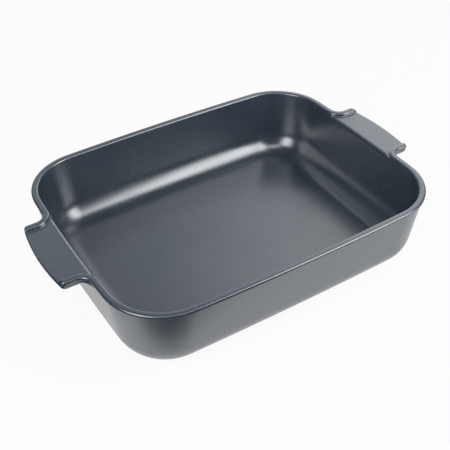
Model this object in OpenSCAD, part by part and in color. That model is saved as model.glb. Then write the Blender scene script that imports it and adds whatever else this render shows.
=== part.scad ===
// Deep oblong baking dish of glazed stoneware with a tab handle on each short side.
// Lengths are in millimetres. X runs from handle to handle, Y across the dish and Z up.
// The origin lies under the middle of the dish, on the surface that it stands on.

/* [Dish] */
// Length over the rim, at the middle of the short sides
rim_length = 349; // [290:1:420]
// Width over the rim, at the middle of the long sides
rim_width = 272; // [240:1:320]
// Height from the table to the top of the rim
height = 82; // [65:1:110]
// Radius of the rim's corners, seen from above
corner_r = 60; // [50:1:75]
// How far each long side bows out between its corners
long_bow = 2.2; // [0.5:0.1:5]
// How far each short side bows out between its corners
short_bow = 1.7; // [0.5:0.1:6]

/* [Walls and floor] */
// Lean of the walls from upright, in degrees
wall_lean = 8.6; // [4:0.1:15]
// Thickness of the walls, measured level
wall_t = 5.5; // [4:0.1:8]
// Thickness of the floor
floor_t = 9; // [6:0.1:12]
// Radius that turns the outside of the wall under the dish
heel_r = 32; // [24:0.5:38]
// Radius of the cove between the inside of the wall and the floor
cove_r = 27; // [18:0.5:32]
// Share of the sides' bow that is left at the foot, where the dish is squarer
foot_bow_share = 0.5; // [0.2:0.05:1]

/* [Rim bead] */
// Height of the raised bead that runs round the rim
bead_h = 3.5; // [2:0.1:6]
// How far the bead overhangs the outside of the wall
bead_overhang = 1.5; // [0.5:0.1:3]
// Radius of the bead's outer top edge
bead_outer_r = 1.8; // [0.5:0.1:2.4]
// Radius of the bead's inner top edge
bead_inner_r = 2.2; // [0.5:0.1:3]
// Radius of the bead's lower outer edge
bead_under_r = 0.9; // [0.2:0.1:1.4]
// Radius that rounds the bead's top down where it ends at a handle's tip
bead_end_r = 2.8; // [0.5:0.1:3.2]

/* [Handles] */
// Width of each handle over the bead at its two ends
handle_w = 92; // [70:1:120]
// How far the two ends of a handle stand out past the rim
handle_reach = 21.2; // [17:0.1:30]
// How far the outer edge of a handle bows out beyond its ends
handle_bow = 4.3; // [2:0.1:9]
// Radius of the turn in which the bead leaves the rim for the end of a handle
sweep_r = 10.5; // [7:0.5:14]
// Radius of the corner at each end of a handle's outer edge
tip_r = 4; // [3:0.1:6]
// Thickness of the tab under its sunken face
tab_t = 5.5; // [4:0.1:8]
// Radius of the lower outer edge of the tab
nose_r = 3; // [1:0.1:4]
// Radius of the upper outer edge of the tab
edge_r = 1; // [0.4:0.1:1.5]
// Radius that blends the underside of the tab into the wall
root_r = 8; // [4:0.5:12]
// Radius of the soft edge between the sunken face and the inside of the dish
roll_r = 4.5; // [1:0.1:5.5]

/* [Foot] */
// Height of the foot that is left bare of glaze
foot_h = 1.5; // [1:0.1:3]
// Width of the foot
foot_w = 6; // [4:0.1:8]
// How far the foot stands in from the edge of the flat underside
foot_inset = 1; // [0.5:0.1:3]

/* [Hidden] */

glaze = "#4d565f";
bisque = "#c9b59b";

// Steps along each stretch of the outlines and round each rounded edge
bow_steps = 5;
tip_steps = 3;
end_steps = 3;
sweep_steps = 7;
side_steps = 1;
corner_steps = 14;
long_steps = 3;
heel_steps = 7;
cove_steps = 7;
roll_steps = 4;
round_steps = 3;

// Where the stretches of a handle's outline start on the wall, as shares of the handle's half angle
tip_start_share = 0.66;
end_start_share = 0.72;
sweep_start_share = 0.77;
// Where the soft inner edge of the sunken face has died out, in the same shares
roll_end_share = 0.88;
// The most that a rounded edge takes of the thickness or width of what it rounds
nose_share = 0.5;
edge_share = 0.3;
root_share = 0.8;
lip_share = 0.55;
crest_share = 0.75;
under_share = 0.3;
roll_limit_share = 0.9;
bead_end_limit_share = 0.8;
// Share of the bead's height that is left where its top ends
bead_end_share = 0.35;

half_l = rim_length / 2;
half_w = rim_width / 2;
half_handle = handle_w / 2;
bead_z = height - bead_h;
bead_w = bead_overhang + wall_t;
floor_z = foot_h + floor_t;
// Level at which a handle's root has run out into the wall
root_z = bead_z - tab_t - root_r;

function direction(a) = [cos(a), sin(a)];
function mix(a, b, share) = a + (b - a) * share;
function smooth(share) = let (s = max(0, min(1, share))) s * s * (3 - 2 * s);
// Radius of an arc, from half its chord and its rise
function bow_radius(half_chord, rise) = (half_chord * half_chord + rise * rise) / (2 * rise);
// The crossing of two circles that lies to the right of the line from a to b
function crossing(a, a_r, b, b_r) =
    let (gap = norm(b - a), u = (b - a) / gap)
    let (along = (a_r * a_r - b_r * b_r + gap * gap) / (2 * gap))
    a + along * u + sqrt(a_r * a_r - along * along) * [u[1], -u[0]];
// The leg of a right triangle
function leg(long_side, side) = sqrt(long_side * long_side - side * side);

// A quarter of the dish's outline is three arcs that run into each other: short side, corner and
// long side. Each is its centre, its radius and the angle that it faces where it ends.
function outline_arcs(bow_share) =
    let (long_r = bow_radius(half_l - corner_r, long_bow * bow_share))
    let (short_r = bow_radius(half_w - corner_r, short_bow * bow_share))
    let (long_c = [0, half_w - long_r], short_c = [half_l - short_r, 0])
    let (corner_c = crossing(long_c, long_r - corner_r, short_c, short_r - corner_r))
    [
        [short_c, short_r, atan2(corner_c[1], corner_c[0] - short_c[0])],
        [corner_c, corner_r, atan2(corner_c[1] - long_c[1], corner_c[0])],
        [long_c, long_r, 90]
    ];
rim_arcs = outline_arcs(1);
short_c = rim_arcs[0][0];
short_r = rim_arcs[0][1];

// The outline of the right handle: bowed edge, tip, straight end, and the sweep into the rim
bow_r = bow_radius(half_handle, handle_bow);
bow_x = half_l + handle_reach + handle_bow - bow_r;
tip_c = [bow_x + leg(bow_r - tip_r, half_handle - tip_r), half_handle - tip_r];
tip_angle = atan2(tip_c[1], tip_c[0] - bow_x);
sweep_c = [short_c[0] + leg(short_r + sweep_r, half_handle + sweep_r), half_handle + sweep_r];
handle_angle = atan2(sweep_c[1], sweep_c[0] - short_c[0]);

// A station is the number of an arc and a share of the way along it. This is its place on an
// outline that is moved in by inset.
function outline_point(arcs, station, inset) =
    let (n = station[0], arc = arcs[n], start = n == 0 ? 0 : arcs[n - 1][2])
    arc[0] + (arc[1] - inset) * direction(mix(start, arc[2], station[1]));
function rim_point(station, inset) = outline_point(rim_arcs, station, inset);

// Distance of the wall's outside and inside from the rim's outline, at height z
function outer_inset(z) = bead_overhang + (bead_z - z) * tan(wall_lean);
function inner_inset(z) = outer_inset(z) + wall_t;
// Distance at which an arc of radius r, tangent to a wall and standing on level z, has its centre
function heel_inset(z) = outer_inset(z + heel_r) + heel_r / cos(wall_lean);
function cove_inset(z) = inner_inset(z + cove_r) + cove_r / cos(wall_lean);

// The stations of a quarter, from the middle of a handle to the middle of a long side
handle_shares = concat(
    [for (i = [0 : bow_steps]) mix(0, tip_start_share, i / bow_steps)],
    [for (i = [1 : tip_steps]) mix(tip_start_share, end_start_share, i / tip_steps)],
    [sweep_start_share],
    [for (i = [1 : sweep_steps]) mix(1, sweep_start_share, cos(90 * i / sweep_steps))]
);
handle_end_share = handle_angle / rim_arcs[0][2];
handle_stations = [for (share = handle_shares) [0, share * handle_end_share]];
rim_stations = concat(
    [for (i = [1 : side_steps]) [0, mix(handle_end_share, 1, i / side_steps)]],
    [for (i = [1 : corner_steps]) [1, i / corner_steps]],
    [for (i = [1 : long_steps]) [2, i / long_steps]]
);
stations = concat(handle_stations, rim_stations);

// Share of the soft inner edge that a station has: all in the handle, none under the bead
function roll_share(station) = station[0] > 0 ? 0 : smooth(
    (roll_end_share - station[1] / handle_end_share) / (roll_end_share - end_start_share));
// Share of the bow at height z: all of it down to the handles' roots, then less towards the foot
function bow_share(z) = mix(1, foot_bow_share, max(0, (root_z - z) / (root_z - foot_h)));

// A closed ring from its quarter, which runs from the X axis to the Y axis
function whole_ring(quarter) = let (last = len(quarter) - 1) concat(
    [for (i = [0 : last - 1]) quarter[i]],
    [for (i = [last : -1 : 1]) [-quarter[i][0], quarter[i][1], quarter[i][2]]],
    [for (i = [0 : last - 1]) [-quarter[i][0], -quarter[i][1], quarter[i][2]]],
    [for (i = [last : -1 : 1]) [quarter[i][0], -quarter[i][1], quarter[i][2]]]
);
// A ring of the basin at one inset and height, shifted where the sunken faces meet the inside
function basin_ring(inset, z, roll_shift = [0, 0]) =
    let (arcs = outline_arcs(bow_share(z)))
    whole_ring([
        for (station = stations)
            let (shift = roll_shift * roll_share(station))
            let (p = outline_point(arcs, station, inset + shift[0]))
            [p[0], p[1], z + shift[1]]
    ]);

// A solid skinned over a row of loops with as many points each, closed by a face at either end.
// Seen from the row's far end, each loop runs clockwise.
module loft(loops) {
    size = len(loops[0]);
    last = (len(loops) - 1) * size;
    sides = [
        for (row = [0 : size : last - size], i = [0 : size - 1])
            let (next = (i + 1) % size)
            each [
                [row + i, row + next, row + size + next],
                [row + i, row + size + next, row + size + i]
            ]
    ];
    near = [for (i = [1 : size - 2]) [0, i + 1, i]];
    far = [for (i = [1 : size - 2]) [last, last + i, last + i + 1]];
    polyhedron([for (loop = loops) each loop], concat(near, sides, far), convexity = 6);
}

module basin() {
    heel_in = heel_inset(foot_h);
    cove_in = cove_inset(floor_z);
    // The soft edge lies between the level face and the leaning wall
    soft_r = min(roll_r, roll_limit_share * wall_t);
    soft_leg = soft_r / tan((90 + wall_lean) / 2);
    soft_foot = [soft_leg * sin(wall_lean), -soft_leg * cos(wall_lean)];
    cove = [
        for (i = [0 : cove_steps])
            let (a = i / cove_steps * (90 - wall_lean))
            basin_ring(cove_in - cove_r * sin(a), floor_z + cove_r * (1 - cos(a)))
    ];
    roll = [
        for (i = [0 : roll_steps])
            let (share = i / roll_steps, rest = (1 - share) * soft_foot)
            let (a = mix(wall_lean, 90, share), soft = [soft_r * cos(a) - soft_leg, soft_r * (sin(a) - 1)])
            basin_ring(bead_w + rest[0], bead_z + rest[1], soft - rest)
    ];
    seat = [basin_ring(bead_overhang, bead_z), basin_ring(outer_inset(root_z), root_z)];
    heel = [
        for (i = [heel_steps : -1 : 0])
            let (a = i / heel_steps * (90 - wall_lean))
            basin_ring(heel_in - heel_r * sin(a), foot_h + heel_r * (1 - cos(a)))
    ];
    color(glaze)
        loft(concat(cove, roll, seat, heel));
}

// Where the bead ends on the bowed edge, at an inset from the end of the handle
function bead_end(inset) =
    let (y = half_handle - inset)
    inset < tip_r * (1 - sin(tip_angle)) ? [tip_c[0] + leg(tip_r, tip_r - inset), y]
    : [bow_x + leg(bow_r, y), y];
// The bead's top comes down to its end round an arc, of which these are the angles
end_r = min(bead_end_r, bead_end_limit_share * (tip_c[0] - sweep_c[0]));
end_angles = [for (i = [0 : end_steps]) mix(asin(bead_end_share), 90, i / end_steps)];
// Half of the bead's run, from a handle's tip to the middle of a long side, moved in by inset
function bead_run(inset) = concat(
    [for (a = end_angles) bead_end(inset) - [end_r * (cos(end_angles[0]) - cos(a)), 0]],
    [for (i = [0 : sweep_steps - 1])
        sweep_c + (sweep_r + inset) * direction(mix(270, 180 + handle_angle, i / sweep_steps))],
    [rim_point([0, handle_end_share], inset)],
    [for (station = rim_stations) rim_point(station, inset)]
);
// Section of the bead as insets and heights: its overhanging lip, its top, and its inner side, which
// carries on the lean of the wall, on a flat foot
lip_r = min(bead_outer_r, lip_share * bead_h);
crest_r = min(bead_inner_r, crest_share * bead_h);
crest_in = inner_inset(height - crest_r) - crest_r / cos(wall_lean);
under_r = min(bead_under_r, under_share * bead_h);
bead_section = concat(
    [[bead_overhang, bead_z], [0, bead_z + under_r]],
    [for (i = [0 : round_steps])
        let (a = 90 * i / round_steps)
        [lip_r * (1 - cos(a)), height - lip_r * (1 - sin(a))]],
    [for (i = [0 : round_steps])
        let (a = (90 - wall_lean) * i / round_steps)
        [crest_in + crest_r * sin(a), height - crest_r * (1 - cos(a))]],
    [[bead_w, bead_z]]
);

// The bead of one long side, which sweeps out over the ends of both handles
module long_rim() {
    lanes = [for (s = bead_section) bead_run(s[0])];
    last = len(lanes[0]) - 1;
    half = [
        for (i = [0 : last])
            let (rise = i < end_steps ? sin(end_angles[i]) : 1)
            [
                for (k = [0 : len(lanes) - 1])
                    [lanes[k][i][0], lanes[k][i][1], mix(bead_z, bead_section[k][1], rise)]
            ]
    ];
    other = [for (i = [last - 1 : -1 : 0]) [for (p = half[i]) [-p[0], p[1], p[2]]]];
    loft(concat(half, other));
}

module front_rim() {
    color(glaze)
        mirror([0, 1, 0])
        long_rim();
}

module back_rim() {
    color(glaze)
        long_rim();
}

// Half of the tab's outline, from the middle of its bowed edge to the foot of the sweep
tab_edge = concat(
    [for (i = [0 : bow_steps])
        [bow_x, 0] + bow_r * direction(mix(0, tip_angle, i / bow_steps))],
    [for (i = [1 : tip_steps])
        tip_c + (tip_r - bead_overhang * i / tip_steps) * direction(mix(tip_angle, 90, i / tip_steps))],
    [for (i = [0 : sweep_steps - 1])
        sweep_c + (sweep_r + bead_overhang) * direction(mix(270, 180 + handle_angle, i / sweep_steps))]
);
// Section of the tab at station i, from the wall out along its face and back under it
function tab_section(i) =
    let (station = handle_stations[i])
    let (wall = rim_point(station, bead_overhang), out = tab_edge[i] - wall)
    let (reach = norm(out), u = out / reach, low = bead_z - tab_t)
    let (edge = min(edge_r, edge_share * min(reach, tab_t)))
    let (nose = min(nose_r, nose_share * min(reach, tab_t)))
    let (root = min(root_r, root_share * reach), c_z = low - root)
    let (c_x = root / cos(wall_lean) - (bead_z - c_z) * tan(wall_lean))
    let (end_z = c_z + root * sin(wall_lean), end = rim_point(station, outer_inset(end_z)))
    let (profile = concat(
        [[0, bead_z]],
        [for (k = [0 : round_steps])
            let (b = 90 * k / round_steps) [reach - edge * (1 - sin(b)), bead_z - edge * (1 - cos(b))]],
        [for (k = [0 : round_steps])
            let (b = 90 * k / round_steps) [reach - nose * (1 - cos(b)), low + nose * (1 - sin(b))]],
        [for (k = [0 : round_steps - 1])
            let (b = (90 - wall_lean) * k / round_steps)
            [c_x - root * sin(b), c_z + root * cos(b)]]
    ))
    concat([for (p = profile) [wall[0] + u[0] * p[0], wall[1] + u[1] * p[0], p[1]]],
        [[end[0], end[1], end_z]]);

// The tab of the right handle
module tab() {
    half = [for (i = [len(tab_edge) - 1 : -1 : 0]) tab_section(i)];
    other = [for (i = [1 : len(tab_edge) - 1]) [for (p = tab_section(i)) [p[0], -p[1], p[2]]]];
    loft(concat(half, other));
}

module left_handle() {
    color(glaze)
        mirror([1, 0, 0])
        tab();
}

module right_handle() {
    color(glaze)
        tab();
}

// The flat outline of the underside, moved in by inset
module underside_outline(inset) {
    arcs = outline_arcs(foot_bow_share);
    quarter = [
        for (station = concat([[0, 0], [0, handle_end_share]], rim_stations))
            concat(outline_point(arcs, station, inset), 0)
    ];
    polygon([for (p = whole_ring(quarter)) [p[0], p[1]]]);
}

module foot_ring() {
    outer = heel_inset(foot_h) + foot_inset;
    color(bisque)
        linear_extrude(foot_h)
        difference() {
            underside_outline(outer);
            underside_outline(outer + foot_w);
        }
}

basin();
front_rim();
back_rim();
left_handle();
right_handle();
foot_ring();
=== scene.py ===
import math

import bpy
import numpy as np
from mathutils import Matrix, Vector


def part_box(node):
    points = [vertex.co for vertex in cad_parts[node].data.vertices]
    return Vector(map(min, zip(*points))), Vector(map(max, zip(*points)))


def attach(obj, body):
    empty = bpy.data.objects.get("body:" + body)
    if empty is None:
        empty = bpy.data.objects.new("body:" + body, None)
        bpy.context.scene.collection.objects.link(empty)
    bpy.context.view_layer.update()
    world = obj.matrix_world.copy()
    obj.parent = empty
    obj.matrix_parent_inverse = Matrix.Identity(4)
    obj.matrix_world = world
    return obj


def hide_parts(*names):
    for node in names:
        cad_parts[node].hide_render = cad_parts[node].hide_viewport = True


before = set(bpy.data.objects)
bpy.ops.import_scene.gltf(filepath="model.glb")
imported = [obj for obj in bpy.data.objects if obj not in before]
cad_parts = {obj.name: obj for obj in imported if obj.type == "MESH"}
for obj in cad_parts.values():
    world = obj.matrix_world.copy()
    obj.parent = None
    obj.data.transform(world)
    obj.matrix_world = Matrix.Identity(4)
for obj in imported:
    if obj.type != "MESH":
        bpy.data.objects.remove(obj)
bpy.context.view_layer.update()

# Camera
# It looks down on the dish from the front left, as in the photograph. All lengths in this file are
# in metres, and the dish stands on the floor at height nought.
camera_aim = np.array([-0.0111, -0.0117, 0.0410])
camera_distance = 0.7787
camera_azimuth = math.radians(-31.747)
camera_elevation = math.radians(39.510)
camera_roll = math.radians(-0.680)
camera_lens = 61.713

camera_back = np.array([
    math.sin(camera_azimuth) * math.cos(camera_elevation),
    -math.cos(camera_azimuth) * math.cos(camera_elevation),
    math.sin(camera_elevation),
])
level_right = np.array([math.cos(camera_azimuth), math.sin(camera_azimuth), 0.0])
level_up = np.cross(camera_back, level_right)
camera_turn = np.eye(4)
camera_turn[:3, 0] = level_right * math.cos(camera_roll) + level_up * math.sin(camera_roll)
camera_turn[:3, 1] = level_up * math.cos(camera_roll) - level_right * math.sin(camera_roll)
camera_turn[:3, 2] = camera_back
camera_turn[:3, 3] = camera_aim + camera_distance * camera_back
camera_data = bpy.data.cameras.new("camera")
camera_data.lens = camera_lens
camera = bpy.data.objects.new("camera", camera_data)
camera.matrix_world = camera_turn.T.tolist()
bpy.context.collection.objects.link(camera)
bpy.context.scene.camera = camera

# Basin
# The real basin is pressed stoneware under a satin slate glaze: a flat floor, a deep cove and four
# leaning walls that turn under on a round heel. Rim, handles and foot belong to the same casting.
corner_r = 0.060
long_bow = 0.0022
short_bow = 0.0017
wall_lean = math.radians(8.6)
wall_t = 0.0055
floor_t = 0.009
heel_r = 0.032
cove_r = 0.027
foot_bow_share = 0.5
bead_overhang = 0.0015
half_handle = 0.046
sweep_r = 0.0105
soft_r = 0.0045
tab_t = 0.0055
root_r = 0.008
# The soft edge of a handle's face dies out between these shares of the way to the handle's end
soft_start_share = 0.72
soft_end_share = 0.88
# Steps round a quarter of the outline, along its handle, side, corner and long side
handle_steps = 44
side_steps = 6
corner_steps = 44
long_steps = 30
# Steps up the section
cove_steps = 24
wall_steps = 8
soft_steps = 10
heel_steps = 28
crease_angle = math.radians(32)

foot_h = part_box("foot_ring")[1][2]
bead_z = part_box("basin")[1][2]
rim_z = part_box("back_rim")[1][2]
half_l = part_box("basin")[1][0] + bead_overhang
half_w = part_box("back_rim")[1][1]
bead_w = bead_overhang + wall_t
floor_z = foot_h + floor_t
root_z = bead_z - tab_t - root_r
wall_rest = math.pi / 2 - wall_lean


def mix(a, b, share):
    """The value that lies at share of the way from a to b."""
    return a + (b - a) * share


def smooth(share):
    """A share that leaves nought and reaches one without a kink: 3s^2 - 2s^3."""
    s = np.clip(share, 0.0, 1.0)
    return s * s * (3.0 - 2.0 * s)


def bow_radius(half_chord, rise):
    """Radius of the arc over a chord, from half the chord h and the rise r: (h^2 + r^2) / 2r."""
    return (half_chord * half_chord + rise * rise) / (2.0 * rise)


def outline_arcs(bow):
    """Centres, radii and angles of the short side, corner and long side of a quarter. The corner's
    circle touches both sides' circles, so its centre is where those circles, drawn in by corner_r,
    cross. bow is the share of the sides' rise that is left."""
    long_r = bow_radius(half_l - corner_r, long_bow * bow)
    short_r = bow_radius(half_w - corner_r, short_bow * bow)
    long_y = half_w - long_r
    short_x = half_l - short_r
    gap = np.hypot(short_x, long_y)
    along = ((long_r - corner_r) ** 2 - (short_r - corner_r) ** 2 + gap * gap) / (2.0 * gap)
    aside = np.sqrt((long_r - corner_r) ** 2 - along * along)
    corner_x = (along * short_x - aside * long_y) / gap
    corner_y = long_y - (along * long_y + aside * short_x) / gap
    first = np.arctan2(corner_y, corner_x - short_x)
    second = np.arctan2(corner_y - long_y, corner_x)
    return short_x, short_r, corner_x, corner_y, long_y, long_r, first, second


def outline(station, inset, bow=1.0):
    """Plan of a quarter. station runs 0 to 1 along the short side, to 2 round the corner and to 3
    along the long side. A point is its arc's centre plus (radius - inset) in the direction of an
    angle that grows evenly with the station."""
    short_x, short_r, corner_x, corner_y, long_y, long_r, first, second = outline_arcs(bow)
    share = station - np.clip(np.floor(station), 0.0, 2.0)
    on_short = station < 1.0
    on_long = station >= 2.0
    start = np.where(on_short, 0.0, np.where(on_long, second, first))
    end = np.where(on_short, first, np.where(on_long, math.pi / 2, second))
    radius = np.where(on_short, short_r, np.where(on_long, long_r, corner_r)) - inset
    centre_x = np.where(on_short, short_x, np.where(on_long, 0.0, corner_x))
    centre_y = np.where(on_short, 0.0, np.where(on_long, long_y, corner_y))
    angle = mix(start, end, share)
    return centre_x + radius * np.cos(angle), centre_y + radius * np.sin(angle)


def outer_inset(z):
    """How far the outside of the wall lies inside the rim's outline: overhang + drop x tan(lean)."""
    return bead_overhang + (bead_z - z) * math.tan(wall_lean)


def inner_inset(z):
    """The same for the inside of the wall, which is one wall thickness further in."""
    return outer_inset(z) + wall_t


def whole_ring(x, y, z):
    """Closed rings from their quarters: the quarter, then its mirror images round to the start."""
    back = slice(None, 0, -1)
    rings_x = np.concatenate([x[:, :-1], -x[:, back], -x[:, :-1], x[:, back]], axis=1)
    rings_y = np.concatenate([y[:, :-1], y[:, back], -y[:, :-1], -y[:, back]], axis=1)
    rings_z = np.concatenate([z[:, :-1], z[:, back], z[:, :-1], z[:, back]], axis=1)
    return np.stack([rings_x, rings_y, rings_z], axis=-1)


def skin(name, rings, thin=None, looped=False):
    """A closed piece skinned over a row of closed rings with as many points each: four-sided faces
    between neighbours, and a flat face over the first and the last, unless the row is looped. Seen
    from the row's far end a ring runs clockwise. The third argument is each point's share, 0 to 1, of
    the glaze's paler edge colour: a painted highlight along rounded edges, where the glaze also thins."""
    rows, count = rings.shape[:2]
    place = np.arange(rows * count).reshape(rows, count)
    near = place if looped else place[:-1]
    far = np.roll(place, -1, axis=0) if looped else place[1:]
    sides = np.stack([near, np.roll(near, -1, axis=1), np.roll(far, -1, axis=1), far], axis=-1)
    faces = sides.reshape(-1, 4).tolist()
    if not looped:
        faces += [place[0, ::-1].tolist(), place[-1].tolist()]
    mesh = bpy.data.meshes.new(name)
    mesh.from_pydata(rings.reshape(-1, 3).tolist(), [], faces)
    mesh.polygons.foreach_set("use_smooth", np.ones(len(faces), dtype=bool))
    mesh.set_sharp_from_angle(angle=crease_angle)
    values = np.zeros((rows, count)) if thin is None else np.broadcast_to(thin, (rows, count))
    # Each point's share of the painted edge highlight, read by the glaze
    thin_and_highlight_share = mesh.attributes.new("thin", "FLOAT", "POINT")
    thin_and_highlight_share.data.foreach_set("value", values.astype(np.float32).ravel())
    piece = bpy.data.objects.new(name, mesh)
    bpy.context.collection.objects.link(piece)
    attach(piece, "root")
    return piece


def shader_group(name, inputs, outputs):
    """An empty shader node group with these named sockets, and its input and output nodes."""
    group = bpy.data.node_groups.new(name, "ShaderNodeTree")
    for way, sockets in (("INPUT", inputs), ("OUTPUT", outputs)):
        for label, kind in sockets:
            group.interface.new_socket(label, in_out=way, socket_type=kind)
    return group, group.nodes.new("NodeGroupInput"), group.nodes.new("NodeGroupOutput")


def math_node(tree, operation, *values):
    """The result of a sum in a shader tree. Each value is a number or a socket that gives one."""
    node = tree.nodes.new("ShaderNodeMath")
    node.operation = operation
    for socket, value in zip(node.inputs, values):
        if isinstance(value, float):
            socket.default_value = value
        else:
            tree.links.new(value, socket)
    return node.outputs["Value"]


def range_node(tree, value, low, high, to_low, to_high):
    """value, carried from the range low to high to the range to_low to to_high, and held there."""
    node = tree.nodes.new("ShaderNodeMapRange")
    node.inputs["From Min"].default_value = low
    node.inputs["From Max"].default_value = high
    node.inputs["To Min"].default_value = to_low
    node.inputs["To Max"].default_value = to_high
    tree.links.new(value, node.inputs["Value"])
    return node.outputs["Result"]


def colour_mix(tree, share, a, b):
    """Colours a and b mixed by a share. Each is a colour or a socket that gives one."""
    node = tree.nodes.new("ShaderNodeMix")
    node.data_type = "RGBA"
    tree.links.new(share, node.inputs["Factor"])
    for socket, colour in ((node.inputs["A"], a), (node.inputs["B"], b)):
        if isinstance(colour, tuple):
            socket.default_value = colour
        else:
            tree.links.new(colour, socket)
    return node.outputs["Result"]


# The fired surface of glaze or clay: cloudy where it lay thicker, with a fine grain, and rippled.
# Clouds and grain start at the first value of their noise and are full at the second.
cloud_range = (0.35, 0.65)
cloud_detail = 2.0
grain_range = (0.5, 0.75)
grain_detail = 2.0
ripple_detail = 1.0

fired_surface, fired_in, fired_out = shader_group("fired surface", [
    ("Colour", "NodeSocketColor"),
    ("Cloud Colour", "NodeSocketColor"),
    ("Grain Colour", "NodeSocketColor"),
    ("Cloud Scale", "NodeSocketFloat"),
    ("Grain Scale", "NodeSocketFloat"),
    ("Grain", "NodeSocketFloat"),
    ("Roughness", "NodeSocketFloat"),
    ("Roughness Spread", "NodeSocketFloat"),
    ("Ripple Scale", "NodeSocketFloat"),
    ("Ripple Depth", "NodeSocketFloat"),
], [
    ("Colour", "NodeSocketColor"),
    ("Roughness", "NodeSocketFloat"),
    ("Normal", "NodeSocketVector"),
])
on_piece = fired_surface.nodes.new("ShaderNodeTexCoord").outputs["Object"]


def fired_noise(scale, detail):
    """Noise over the piece, as coarse as the group's input of this name says."""
    noise = fired_surface.nodes.new("ShaderNodeTexNoise")
    noise.inputs["Detail"].default_value = detail
    fired_surface.links.new(on_piece, noise.inputs["Vector"])
    fired_surface.links.new(fired_in.outputs[scale], noise.inputs["Scale"])
    return noise.outputs["Fac"]


clouds = fired_noise("Cloud Scale", cloud_detail)
grain = fired_noise("Grain Scale", grain_detail)
ripple = fired_noise("Ripple Scale", ripple_detail)
cloud_share = range_node(fired_surface, clouds, *cloud_range, 0.0, 1.0)
clouded = colour_mix(fired_surface, cloud_share, fired_in.outputs["Colour"],
                     fired_in.outputs["Cloud Colour"])
grain_share = range_node(fired_surface, grain, *grain_range, 0.0, 1.0)
grain_amount = math_node(fired_surface, "MULTIPLY", grain_share, fired_in.outputs["Grain"])
grained = colour_mix(fired_surface, grain_amount, clouded, fired_in.outputs["Grain Colour"])
spread = math_node(fired_surface, "MULTIPLY_ADD", cloud_share, fired_in.outputs["Roughness Spread"],
                   fired_in.outputs["Roughness"])
rippled = fired_surface.nodes.new("ShaderNodeBump")
rippled.inputs["Strength"].default_value = 1.0
fired_surface.links.new(ripple, rippled.inputs["Height"])
fired_surface.links.new(fired_in.outputs["Ripple Depth"], rippled.inputs["Distance"])
fired_surface.links.new(grained, fired_out.inputs["Colour"])
fired_surface.links.new(spread, fired_out.inputs["Roughness"])
fired_surface.links.new(rippled.outputs["Normal"], fired_out.inputs["Normal"])

# Satin glaze: slate blue-grey. Its paler colour is a painted highlight along the middle of each rounded
# edge, where the glaze also thins
glaze_colour = (0.028, 0.041, 0.059, 1.0)
glaze_cloud = (0.033, 0.047, 0.066, 1.0)
glaze_grain = (0.046, 0.060, 0.078, 1.0)
glaze_thin = (0.050, 0.063, 0.080, 1.0)
glaze_roughness = 0.24
glaze_ior = 2.3


def surface_material(name, values, ior):
    """A material with these values on the fired surface group, that group's node and the shader."""
    material = bpy.data.materials.new(name)
    material.use_nodes = True
    tree = material.node_tree
    shader = tree.nodes["Principled BSDF"]
    shader.inputs["IOR"].default_value = ior
    fired = tree.nodes.new("ShaderNodeGroup")
    fired.node_tree = fired_surface
    for label, value in values.items():
        fired.inputs[label].default_value = value
    tree.links.new(fired.outputs["Roughness"], shader.inputs["Roughness"])
    tree.links.new(fired.outputs["Normal"], shader.inputs["Normal"])
    return material, fired, shader


glaze, glaze_fired, glaze_shader = surface_material("satin slate glaze", {
    "Colour": glaze_colour,
    "Cloud Colour": glaze_cloud,
    "Grain Colour": glaze_grain,
    "Cloud Scale": 18.0,
    "Grain Scale": 900.0,
    "Grain": 0.3,
    "Roughness": glaze_roughness,
    "Roughness Spread": 0.05,
    "Ripple Scale": 160.0,
    "Ripple Depth": 0.000012,
}, glaze_ior)
# The paler edge colour is mixed in at each point's share: a painted highlight on the rounded edges
thin_glaze = glaze.node_tree.nodes.new("ShaderNodeAttribute")
thin_glaze.attribute_name = "thin"
glaze.node_tree.links.new(
    colour_mix(glaze.node_tree, thin_glaze.outputs["Fac"], glaze_fired.outputs["Colour"], glaze_thin),
    glaze_shader.inputs["Base Color"])

short_x, short_r, _, _, _, _, short_angle, _ = outline_arcs(1.0)
sweep_x = short_x + math.sqrt((short_r + sweep_r) ** 2 - (half_handle + sweep_r) ** 2)
sweep_y = half_handle + sweep_r
handle_angle = math.atan2(sweep_y, sweep_x - short_x)
handle_end = handle_angle / short_angle
rim_stations = np.concatenate([
    np.linspace(handle_end, 1.0, side_steps + 1)[1:],
    np.linspace(1.0, 2.0, corner_steps + 1)[1:],
    np.linspace(2.0, 3.0, long_steps + 1)[1:],
])
stations = np.concatenate([np.linspace(0.0, handle_end, handle_steps + 1), rim_stations])


def basin_rings(inset, z, soft_in=0.0, soft_z=0.0):
    """Rings of the basin at insets and heights, one a row. Along a handle they are shifted by
    soft_in and soft_z, which die out under the rim."""
    inset, z, soft_in, soft_z = (
        np.broadcast_to(v, np.shape(inset))[:, None] for v in (inset, z, soft_in, soft_z))
    fade = (soft_end_share - stations / handle_end) / (soft_end_share - soft_start_share)
    soft = smooth(fade)[None, :]
    bow = mix(1.0, foot_bow_share, np.maximum(0.0, (root_z - z) / (root_z - foot_h)))
    x, y = outline(stations[None, :], inset + soft_in * soft, bow)
    return whole_ring(x, y, z + soft_z * soft)


cove_in = inner_inset(floor_z + cove_r) + cove_r / math.cos(wall_lean)
heel_in = outer_inset(foot_h + heel_r) + heel_r / math.cos(wall_lean)
cove_a = np.linspace(0.0, wall_rest, cove_steps + 1)
cove = basin_rings(cove_in - cove_r * np.sin(cove_a), floor_z + cove_r * (1.0 - np.cos(cove_a)))
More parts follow.
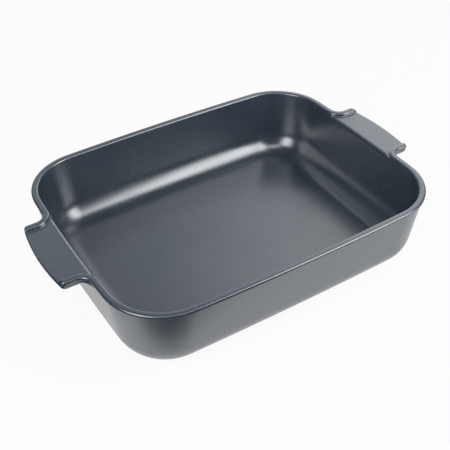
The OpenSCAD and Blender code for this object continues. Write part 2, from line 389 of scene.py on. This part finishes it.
# The soft edge is an arc between the leaning wall and the handle's level face
soft_leg = soft_r * math.tan(wall_rest / 2)
soft_foot_z = bead_z - soft_leg * math.cos(wall_lean)
wall_z = np.linspace(floor_z + cove_r * (1.0 - math.sin(wall_lean)), soft_foot_z, wall_steps + 2)[1:-1]
inner_wall = basin_rings(inner_inset(wall_z), wall_z)
soft_share = np.linspace(0.0, 1.0, soft_steps + 1)
soft_a = mix(wall_lean, math.pi / 2, soft_share)
rest_in = (1.0 - soft_share) * soft_leg * math.sin(wall_lean)
rest_z = (soft_share - 1.0) * soft_leg * math.cos(wall_lean)
soft_edge = basin_rings(
    bead_w + rest_in,
    bead_z + rest_z,
    soft_r * np.cos(soft_a) - soft_leg - rest_in,
    soft_r * (np.sin(soft_a) - 1.0) - rest_z,
)
heel_top_z = foot_h + heel_r * (1.0 - math.sin(wall_lean))
outer_z = np.concatenate([
    [bead_z],
    np.linspace(root_z, heel_top_z, wall_steps, endpoint=False),
])
outer_wall = basin_rings(outer_inset(outer_z), outer_z)
heel_a = np.linspace(wall_rest, 0.0, heel_steps + 1)
heel = basin_rings(heel_in - heel_r * np.sin(heel_a), foot_h + heel_r * (1.0 - np.cos(heel_a)))
basin = skin("glazed_basin", np.concatenate([cove, inner_wall, soft_edge, outer_wall, heel]))
basin.data.materials.append(glaze)
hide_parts("basin")

# Rim bead, front and back
# A raised bead that stiffens the mouth of the dish. It is pressed in one with the wall, overhangs
# it outside, and sweeps out in an S over both ends of each handle.
handle_bow = 0.0043
tip_r = 0.004
lip_r = 0.0018
lip_under_r = 0.0009
crest_r = 0.0022
crease_r = 0.0009
# The last share of the sweep, over which the fillet at the bead's foot dies out
fillet_fade_share = 0.5
bead_end_r = 0.0028
# At the handle's tip the bead starts at this share of its height and rounds up to the whole
bead_end_share = 0.35
sweep_steps = 22
straight_steps = 6
end_steps = 10
round_steps = 7

overall_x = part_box("right_handle")[1][0]
bow_r = bow_radius(half_handle, handle_bow)
bow_x = overall_x - bow_r
tip_y = half_handle - tip_r
tip_x = bow_x + math.sqrt((bow_r - tip_r) ** 2 - tip_y ** 2)
tip_angle = math.atan2(tip_y, tip_x - bow_x)
# The sweep's arc starts along the handle's straight end and stops where it touches the rim
sweep_angle_start = 1.5 * math.pi
sweep_angle_stop = math.pi + handle_angle


def bead_run(inset, tip_gap, stretch):
    """Half of the bead's way round, seen from above, as columns. On the straight end of a handle a
    point lies tip_gap short of the bowed edge; on the sweep it lies on an arc round its centre, of
    radius sweep_r + inset; on the rim it lies on the outline. stretch is each column's share of its
    own stretch: minus 2 to minus 1 on the straight end, minus 1 to 0 on the sweep, then a station."""
    y = half_handle - inset
    on_tip = inset < tip_r * (1.0 - math.sin(tip_angle))
    tip_leg = np.sqrt(np.clip(tip_r ** 2 - (tip_r - inset) ** 2, 0.0, None))
    end_x = np.where(on_tip, tip_x + tip_leg, bow_x + np.sqrt(bow_r ** 2 - y * y)) - tip_gap
    straight_x = mix(end_x, sweep_x, np.clip(stretch + 2.0, 0.0, 1.0))
    angle = mix(sweep_angle_start, sweep_angle_stop, np.clip(stretch + 1.0, 0.0, 1.0))
    arc_x = sweep_x + (sweep_r + inset) * np.cos(angle)
    arc_y = sweep_y + (sweep_r + inset) * np.sin(angle)
    rim_x, rim_y = outline(np.maximum(stretch, handle_end), inset)
    on_end = stretch <= -1.0
    on_sweep = stretch <= 0.0
    x = np.where(on_end, straight_x, np.where(on_sweep, arc_x, rim_x))
    return x, np.where(on_end, y, np.where(on_sweep, arc_y, rim_y))


end_a = np.linspace(math.asin(bead_end_share), math.pi / 2, end_steps + 1)
end_gap = bead_end_r * (math.cos(end_a[0]) - np.cos(end_a))
bead_stretch = np.concatenate([
    np.full(end_steps + 1, -2.0),
    np.linspace(-2.0, -1.0, straight_steps + 1)[1:],
    np.linspace(-1.0, 0.0, sweep_steps + 1)[1:],
    rim_stations,
])[None, :]
plain_columns = bead_stretch.size - end_steps - 1
tip_gap = np.concatenate([end_gap, np.full(straight_steps, end_gap[-1]),
                          np.zeros(plain_columns - straight_steps)])[None, :]
bead_rise = np.concatenate([np.sin(end_a), np.ones(plain_columns)])[None, :]
# The fillet at the foot of the bead's inner side is there on a handle and gone on the rim
fillet = crease_r * smooth(-bead_stretch / fillet_fade_share)

under_a = np.linspace(0.0, math.pi / 2, round_steps)[:, None]
side_a = np.linspace(0.0, math.pi / 2, round_steps)[:, None]
crest_a = np.linspace(0.0, wall_rest, round_steps)[:, None]
foot_share = np.linspace(0.0, 1.0, round_steps)[:, None]
crest_in = inner_inset(rim_z - crest_r) - crest_r / math.cos(wall_lean)
crease_in = inner_inset(bead_z + crease_r)
bead_inset = np.concatenate([
    np.full((1, 1), bead_overhang),
    lip_under_r * (1.0 - np.sin(under_a)),
    lip_r * (1.0 - np.cos(side_a)),
    crest_in + crest_r * np.sin(crest_a),
    mix(bead_w, crease_in, (1.0 - foot_share) ** 2),
]) + np.concatenate([np.zeros((3 * round_steps + 1, 1)), foot_share ** 2]) * fillet
bead_height = np.concatenate([
    np.full((1, 1), bead_z),
    bead_z + lip_under_r * (1.0 - np.cos(under_a)),
    rim_z - lip_r * (1.0 - np.sin(side_a)),
    rim_z - crest_r * (1.0 - np.cos(crest_a)),
    bead_z + crease_r * (1.0 - foot_share) ** 2,
])
# Painted highlight: the paler edge colour peaks midway round the lip's and the crest's rounding, where
# the highlight lies and the glaze also thins
bead_thin = np.concatenate([
    np.zeros((round_steps + 1, 1)),
    np.sin(2.0 * side_a),
    np.sin(math.pi * crest_a / wall_rest),
    np.zeros((round_steps, 1)),
])
bead_x, bead_y = bead_run(bead_inset, tip_gap, bead_stretch)
bead_heights = bead_z + (bead_height - bead_z) * bead_rise
right_half = np.stack([bead_x, bead_y, bead_heights], axis=-1).transpose(1, 0, 2)
left_half = right_half[-2::-1] * (-1.0, 1.0, 1.0)
bead_rings = np.concatenate([right_half, left_half])
bead_thin = np.broadcast_to(bead_thin.T, bead_rings.shape[:2])

for node, rings in (("back_rim", bead_rings), ("front_rim", bead_rings[::-1] * (1.0, -1.0, 1.0))):
    rim = skin("glazed_" + node, rings, bead_thin)
    rim.data.materials.append(glaze)
    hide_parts(node)

# Handles, left and right
# Each is a tab with a level face sunk below the rim, so that a gloved hand gets a hold. Its outer
# edge bows out and is rounded under, and its underside runs into the wall in a wide root.
nose_r = 0.003
edge_r = 0.001
# Where on the wall the sections of the tip, the straight end and the sweep start, as shares of the
# way from the handle's middle to its end
tip_start_share = 0.66
straight_start_share = 0.72
sweep_start_share = 0.77
# The most that each radius takes of the tab's reach or thickness, where the tab is narrow
edge_limit_share = 0.3
nose_limit_share = 0.5
root_limit_share = 0.8
# The sweep's last section stays just short of the rim, where the tab has no width left
sweep_last_share = 0.985
bow_steps = 36
tip_steps = 10
tab_sweep_steps = 44
tab_round_steps = 14

bow_share = np.linspace(0.0, 1.0, bow_steps + 1)
tip_share = np.linspace(0.0, 1.0, tip_steps + 1)[1:]
straight_share = np.linspace(0.0, 1.0, straight_steps + 1)[1:]
sweep_share = np.linspace(0.0, sweep_last_share, tab_sweep_steps)[1:]
bow_a = bow_share * tip_angle
tip_a = mix(tip_angle, math.pi / 2, tip_share)
tip_reach = tip_r - bead_overhang * tip_share
sweep_a = mix(sweep_angle_start, sweep_angle_stop, sweep_share)
tab_x = np.concatenate([
    bow_x + bow_r * np.cos(bow_a),
    tip_x + tip_reach * np.cos(tip_a),
    mix(tip_x, sweep_x, straight_share),
    sweep_x + (sweep_r + bead_overhang) * np.cos(sweep_a),
])
tab_y = np.concatenate([
    bow_r * np.sin(bow_a),
    tip_y + tip_reach * np.sin(tip_a),
    np.full(straight_steps, half_handle - bead_overhang),
    sweep_y + (sweep_r + bead_overhang) * np.sin(sweep_a),
])
wall_share = np.concatenate([
    tip_start_share * bow_share,
    mix(tip_start_share, straight_start_share, tip_share),
    mix(straight_start_share, sweep_start_share, straight_share),
    mix(1.0, sweep_start_share, np.cos(sweep_share * math.pi / 2)),
])


def tab_sections(edge_x, edge_y, station):
    """Closed sections of the tab, from points on its outer edge to stations on the wall. Each runs
    out along the level face, round the upper edge and the nose, and back underneath to the arc of
    the root, which ends where it touches the leaning wall. The radii shrink where the tab is
    narrow."""
    wall_x, wall_y = outline(station, bead_overhang)
    reach = np.hypot(edge_x - wall_x, edge_y - wall_y)
    along_x = (edge_x - wall_x) / reach
    along_y = (edge_y - wall_y) / reach
    low = bead_z - tab_t
    narrow = np.minimum(reach, tab_t)
    edge = np.minimum(edge_r, edge_limit_share * narrow)[:, None]
    nose = np.minimum(nose_r, nose_limit_share * narrow)[:, None]
    root = np.minimum(root_r, root_limit_share * reach)[:, None]
    out = reach[:, None]
    turn = np.linspace(0.0, math.pi / 2, tab_round_steps)[None, :]
    root_turn = np.linspace(0.0, wall_rest, tab_round_steps)[None, :-1]
    root_centre_z = low - root
    root_centre = root / math.cos(wall_lean) - (bead_z - root_centre_z) * math.tan(wall_lean)
    away = np.concatenate([
        np.zeros_like(out),
        out - edge * (1.0 - np.sin(turn)),
        out - nose * (1.0 - np.cos(turn)),
        root_centre - root * np.sin(root_turn),
    ], axis=1)
    z = np.concatenate([
        np.full_like(out, bead_z),
        bead_z - edge * (1.0 - np.cos(turn)),
        low + nose * (1.0 - np.sin(turn)),
        root_centre_z + root * np.cos(root_turn),
    ], axis=1)
    end_z = root_centre_z + root * math.sin(wall_lean)
    end_x, end_y = outline(station[:, None], outer_inset(end_z))
    x = np.concatenate([wall_x[:, None] + along_x[:, None] * away, end_x], axis=1)
    y = np.concatenate([wall_y[:, None] + along_y[:, None] * away, end_y], axis=1)
    return np.stack([x, y, np.concatenate([z, end_z], axis=1)], axis=-1)


half_tab = tab_sections(tab_x, tab_y, wall_share * handle_end)
tab_rings = np.concatenate([half_tab[::-1], half_tab[1:] * (1.0, -1.0, 1.0)])
# Painted highlight round the tab's rounded upper edge, where the glaze also thins
tab_thin = np.zeros(tab_rings.shape[1])
tab_thin[1:tab_round_steps + 1] = np.sin(np.linspace(0.0, math.pi, tab_round_steps))
for node, rings in (("right_handle", tab_rings), ("left_handle", tab_rings[::-1] * (-1.0, 1.0, 1.0))):
    handle = skin("glazed_" + node, rings, tab_thin[None, :])
    handle.data.materials.append(glaze)
    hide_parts(node)

# Foot ring
# The low ring that carries the dish. It is wiped free of glaze before firing, so that the dish
# doesn't stick to the kiln shelf, and shows the bare buff clay.
foot_w = 0.006
foot_inset = 0.001
foot_edge_r = 0.0004
clay_colour = (0.560, 0.470, 0.360, 1.0)
clay_cloud = (0.600, 0.505, 0.390, 1.0)
clay_grain = (0.300, 0.220, 0.150, 1.0)
clay_roughness = 0.85
clay_ior = 1.5

bare_clay, clay_fired, clay_shader = surface_material("bare fired clay", {
    "Colour": clay_colour,
    "Cloud Colour": clay_cloud,
    "Grain Colour": clay_grain,
    "Cloud Scale": 18.0,
    "Grain Scale": 1500.0,
    "Grain": 0.5,
    "Roughness": clay_roughness,
    "Roughness Spread": 0.05,
    "Ripple Scale": 1800.0,
    "Ripple Depth": 0.00008,
}, clay_ior)
bare_clay.node_tree.links.new(clay_fired.outputs["Colour"], clay_shader.inputs["Base Color"])

foot_in = heel_in + foot_inset
foot_insets = foot_in + np.array([0.0, 0.0, foot_edge_r, foot_w - foot_edge_r, foot_w, foot_w])
foot_heights = np.array([foot_h, foot_edge_r, 0.0, 0.0, foot_edge_r, foot_h])
foot_x, foot_y = outline(stations[None, :], foot_insets[:, None], foot_bow_share)
foot_z = np.broadcast_to(foot_heights[:, None], foot_x.shape)
foot = skin("foot", whole_ring(foot_x, foot_y, foot_z), looped=True)
foot.data.materials.append(bare_clay)
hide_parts("foot_ring")

# Floor and light
# A white floor that runs out to a white surround, under six soft lights: two tall ones and a high one
# at the front, two dim wide ones behind, and a low one behind that draws the line along the rim's
# inner edge. The camera sees the floor close to white, with a faint shadow of the dish.
floor_size = 6.0
floor_white_share = 0.93
floor_colour = (0.85, 0.85, 0.85, 1.0)
surround_colour = (0.75, 0.88, 1.0, 1.0)
surround_strength = 0.04
# The studio round the lights is dark, so reflections show little of the white surround
surround_mirrored = 0.03
cool_white = (0.95, 0.985, 1.0)
# The white table ends in front of the dish and to its left, and reflections show it dark from there
# on. Each end is given by the way it lies in, in degrees from +X towards +Y, and by how far out the
# white starts to fade and is gone.
table_ends = ((246.0, 0.176, 0.208), (180.0, 0.208, 0.240))
# The lights face the middle of the dish
light_aim = np.array([0.0, 0.0, 0.04])


def seen_ray(tree, shown, mirrored):
    """shown for a ray from the camera, mirrored for one in a reflection or through glass, and nought
    for light."""
    path = tree.nodes.new("ShaderNodeLightPath").outputs
    camera_part = math_node(tree, "MULTIPLY", path["Is Camera Ray"], shown)
    reflected = math_node(tree, "MAXIMUM", path["Is Glossy Ray"], path["Is Transmission Ray"])
    return math_node(tree, "MULTIPLY_ADD", reflected, mirrored, camera_part)


def soft_light(name, azimuth, elevation, distance, width, height, brightness, colour):
    """A flat soft light that faces the dish. azimuth is counted in degrees from +X towards +Y,
    elevation up from level. The middle of its face is as bright as brightness times white paper in
    plain light, which takes pi x width x height watts. Towards its sides and ends it falls off to
    nought: (1 - (2u - 1)^2) (1 - (2v - 1)^4), where u and v are the shares of the way over it."""
    turn = math.radians(azimuth)
    rise = math.radians(elevation)
    data = bpy.data.lights.new(name, "AREA")
    data.shape = "RECTANGLE"
    data.size = width
    data.size_y = height
    data.color = colour
    data.energy = math.pi * width * height * brightness
    data.use_nodes = True
    tree = data.node_tree
    over = tree.nodes.new("ShaderNodeSeparateXYZ")
    tree.links.new(tree.nodes.new("ShaderNodeNewGeometry").outputs["Parametric"],
                   over.inputs["Vector"])
    shares = []
    for way, power in (("X", 2.0), ("Y", 4.0)):
        centred = math_node(tree, "MULTIPLY_ADD", over.outputs[way], 2.0, -1.0)
        shares.append(math_node(tree, "SUBTRACT", 1.0, math_node(tree, "POWER", centred, power)))
    tree.links.new(math_node(tree, "MULTIPLY", *shares), tree.nodes["Emission"].inputs["Strength"])
    lamp = bpy.data.objects.new(name, data)
    lamp.location = light_aim + distance * np.array([
        math.cos(rise) * math.cos(turn), math.cos(rise) * math.sin(turn), math.sin(rise)])
    lamp.rotation_euler = (math.pi / 2 - rise, 0.0, math.pi / 2 + turn)
    lamp.visible_camera = False
    bpy.context.collection.objects.link(lamp)


soft_light("tall light, front right", azimuth=312.0, elevation=36.5, distance=1.0,
           width=0.68, height=1.19, brightness=5.4, colour=cool_white)
soft_light("tall light, front left", azimuth=200.0, elevation=33.0, distance=1.0,
           width=0.68, height=1.07, brightness=4.8, colour=(0.96, 0.985, 1.0))
soft_light("high light, front", azimuth=254.0, elevation=67.0, distance=1.0,
           width=0.62, height=0.22, brightness=3.8, colour=cool_white)
soft_light("wide light, back right", azimuth=36.0, elevation=28.0, distance=1.5,
           width=1.35, height=1.75, brightness=1.43, colour=(0.94, 0.97, 1.0))
soft_light("wide light, back", azimuth=86.0, elevation=29.0, distance=1.5,
           width=1.45, height=1.80, brightness=0.57, colour=(0.86, 0.92, 1.0))
soft_light("low light, back", azimuth=60.0, elevation=9.0, distance=1.5,
           width=1.90, height=0.42, brightness=2.4, colour=(0.90, 0.95, 1.0))

white_floor = bpy.data.materials.new("white floor")
white_floor.use_nodes = True
floor_tree = white_floor.node_tree
floor_shader = floor_tree.nodes["Principled BSDF"]
floor_shader.inputs["Base Color"].default_value = floor_colour
floor_shader.inputs["Roughness"].default_value = 1.0
floor_shader.inputs["Specular IOR Level"].default_value = 0.0
floor_white = floor_tree.nodes.new("ShaderNodeEmission")
floor_mix = floor_tree.nodes.new("ShaderNodeMixShader")
# The camera sees the floor a little below white, and reflections show it fully white
floor_share = seen_ray(floor_tree, floor_white_share, 1.0)
on_table = floor_tree.nodes.new("ShaderNodeTexCoord").outputs["Object"]
table_light = 1.0
for end_way, end_start, end_stop in table_ends:
    table_along = floor_tree.nodes.new("ShaderNodeVectorMath")
    table_along.operation = "DOT_PRODUCT"
    table_along.inputs[1].default_value = (
        math.cos(math.radians(end_way)), math.sin(math.radians(end_way)), 0.0)
    floor_tree.links.new(on_table, table_along.inputs[0])
    table_light = math_node(
        floor_tree, "MULTIPLY", table_light,
        range_node(floor_tree, table_along.outputs["Value"], end_start, end_stop, 1.0, 0.0))
camera_ray = floor_tree.nodes.new("ShaderNodeLightPath").outputs["Is Camera Ray"]
table_light = math_node(floor_tree, "MAXIMUM", camera_ray, table_light)
floor_tree.links.new(table_light, floor_white.inputs["Strength"])
floor_tree.links.new(floor_share, floor_mix.inputs["Fac"])
floor_tree.links.new(floor_shader.outputs["BSDF"], floor_mix.inputs[1])
floor_tree.links.new(floor_white.outputs["Emission"], floor_mix.inputs[2])
floor_tree.links.new(floor_mix.outputs["Shader"], floor_tree.nodes["Material Output"].inputs["Surface"])
floor_mesh = bpy.data.meshes.new("floor")
floor_mesh.from_pydata([
    (-floor_size, -floor_size, 0.0),
    (floor_size, -floor_size, 0.0),
    (floor_size, floor_size, 0.0),
    (-floor_size, floor_size, 0.0),
], [], [(0, 1, 2, 3)])
floor_mesh.materials.append(white_floor)
floor = bpy.data.objects.new("floor", floor_mesh)
bpy.context.collection.objects.link(floor)

surround = bpy.data.worlds.new("surround")
surround.use_nodes = True
surround_tree = surround.node_tree
surround_light = surround_tree.nodes["Background"]
surround_light.inputs["Color"].default_value = surround_colour
surround_light.inputs["Strength"].default_value = surround_strength
surround_white = surround_tree.nodes.new("ShaderNodeBackground")
# As white as the far floor, so that no line shows where the two meet
surround_white.inputs["Color"].default_value = (1.0, 1.0, 1.0, 1.0)
surround_white.inputs["Strength"].default_value = floor_white_share
surround_mix = surround_tree.nodes.new("ShaderNodeMixShader")
surround_tree.links.new(seen_ray(surround_tree, 1.0, surround_mirrored), surround_mix.inputs["Fac"])
surround_tree.links.new(surround_light.outputs["Background"], surround_mix.inputs[1])
surround_tree.links.new(surround_white.outputs["Background"], surround_mix.inputs[2])
surround_tree.links.new(surround_mix.outputs["Shader"],
                        surround_tree.nodes["World Output"].inputs["Surface"])
bpy.context.scene.world = surround
bpy.context.scene.view_settings.view_transform = "Standard"
